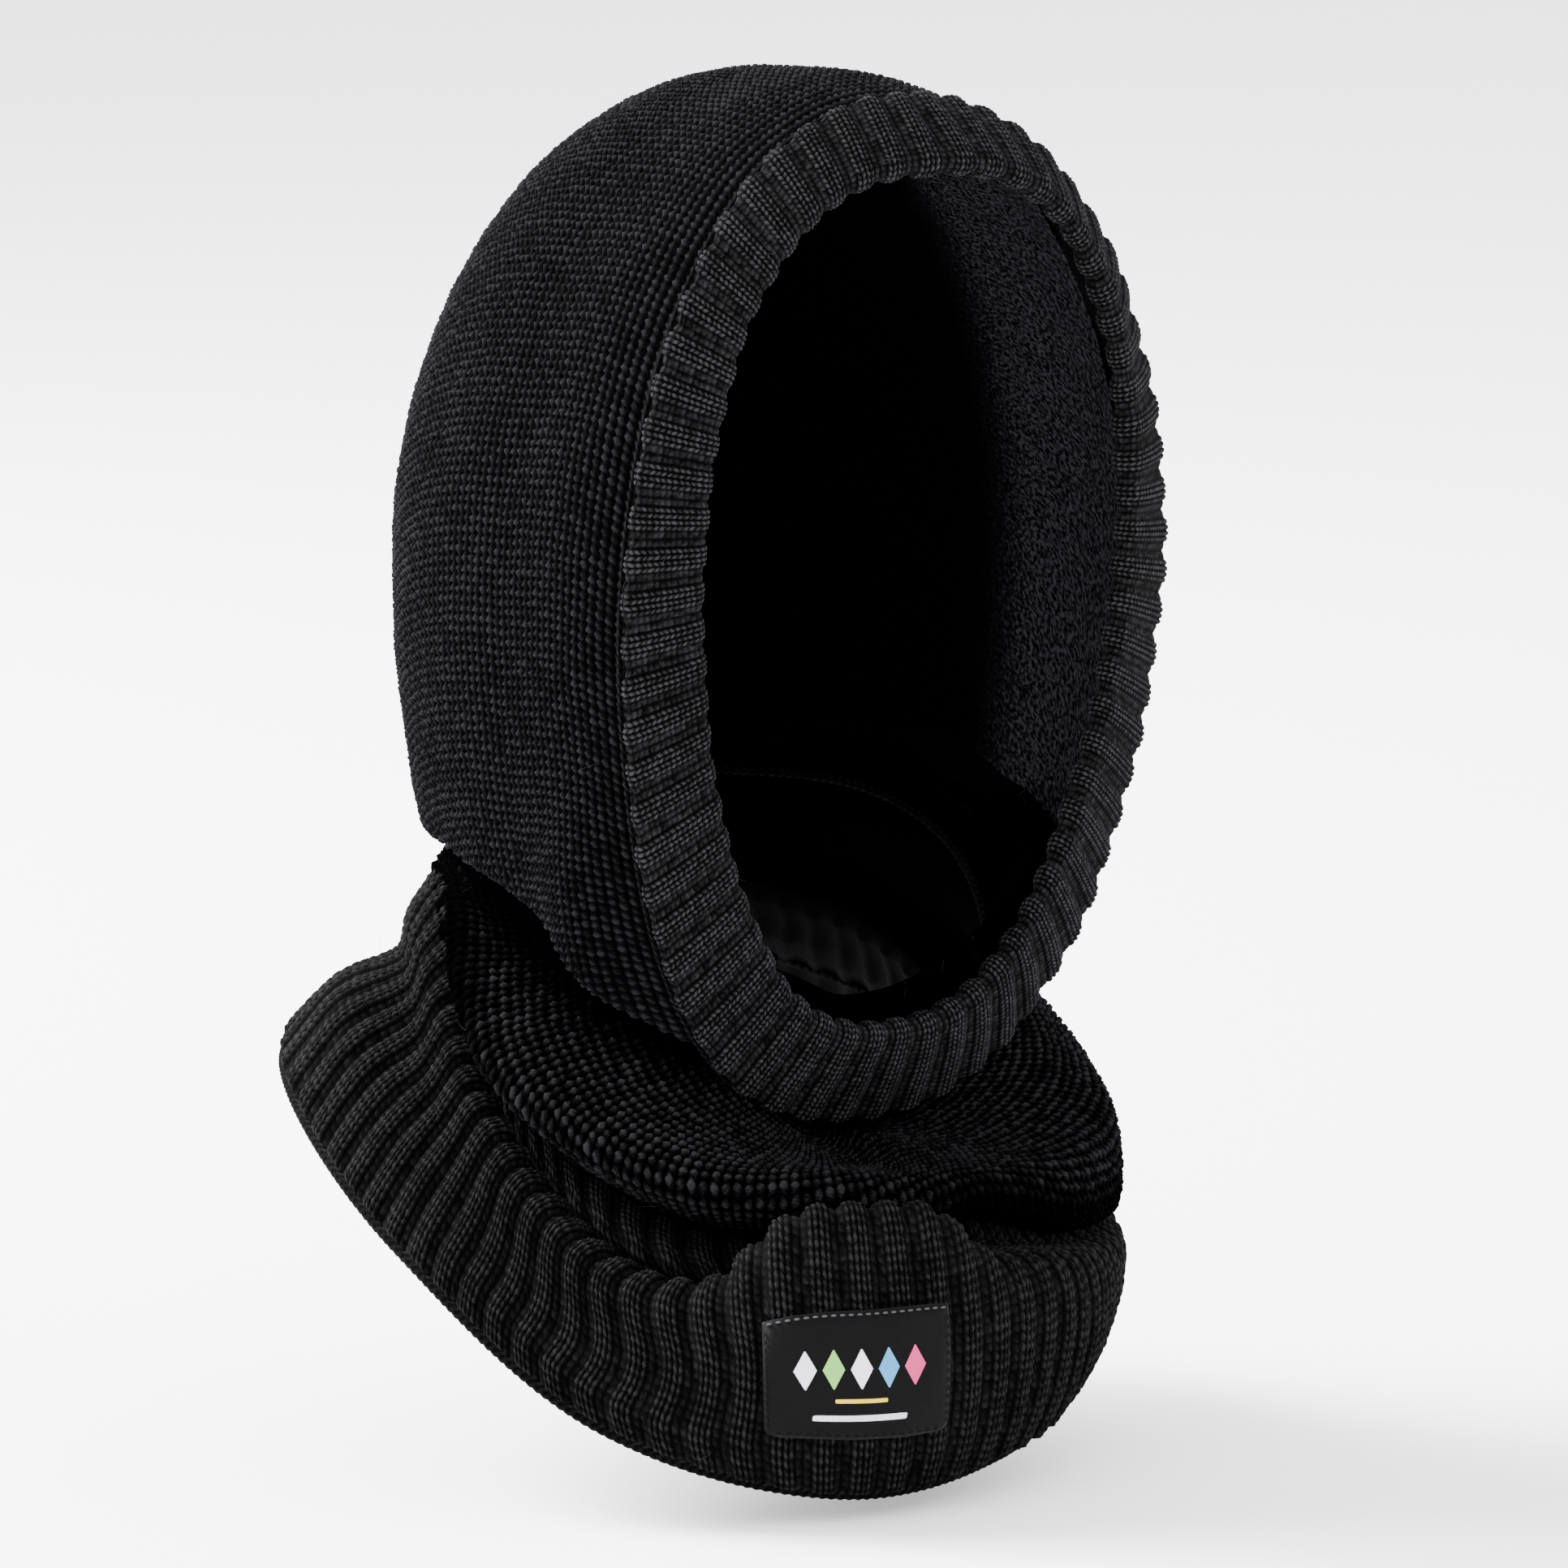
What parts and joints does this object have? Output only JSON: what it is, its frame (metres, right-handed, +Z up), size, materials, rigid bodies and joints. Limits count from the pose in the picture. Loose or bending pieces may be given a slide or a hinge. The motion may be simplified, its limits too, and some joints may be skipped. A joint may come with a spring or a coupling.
{
  "type": "knitted balaclava",
  "caption": "Chunky knitted hood balaclava with a ribbed face trim, soft lining, slouched neck tube and flared ribbed cowl.",
  "frame": {"origin": "middle of the wearer's head, where the head holds the hood up", "axes": "+Z up along the head and neck, -Y is where the face looks, -X is the wearer's right side; Z is the longest side"},
  "size_m": [0.2261, 0.2354, 0.3481],
  "materials": {
    "hood_knit": "chunky matte wool-blend knit, near black with grey highlights",
    "trim_rib": "folded two by two rib, matte charcoal",
    "cowl_rib": "soft two by two rib, matte charcoal",
    "seam_yarn": "matte charcoal linking yarn",
    "lining_knit": "fine smooth knit, navy black",
    "label_satin": "black woven satin with a slight sheen",
    "label_thread": "pale grey sewing thread"
  },
  "bodies": {
    "root": {"hood_panel": "hood_knit", "hood_back_seam": "seam_yarn", "face_trim": "trim_rib", "trim_linking_seam": "seam_yarn", "trim_closing_seam": "seam_yarn", "lining_left": "lining_knit", "lining_right": "lining_knit", "lining_crown_seam": "seam_yarn", "neck_tube": "hood_knit", "neck_hood_seam": "seam_yarn", "neck_back_seam": "seam_yarn", "cowl_rib": "cowl_rib", "cowl_linking_seam": "seam_yarn", "cowl_back_seam": "seam_yarn", "cowl_cast_off_edge": "cowl_rib", "woven_label": "label_satin", "label_stitch_top": "label_thread", "label_stitch_bottom": "seam_yarn", "label_stitch_right": "seam_yarn", "label_stitch_left": "seam_yarn"}
  },
  "joints": []
}
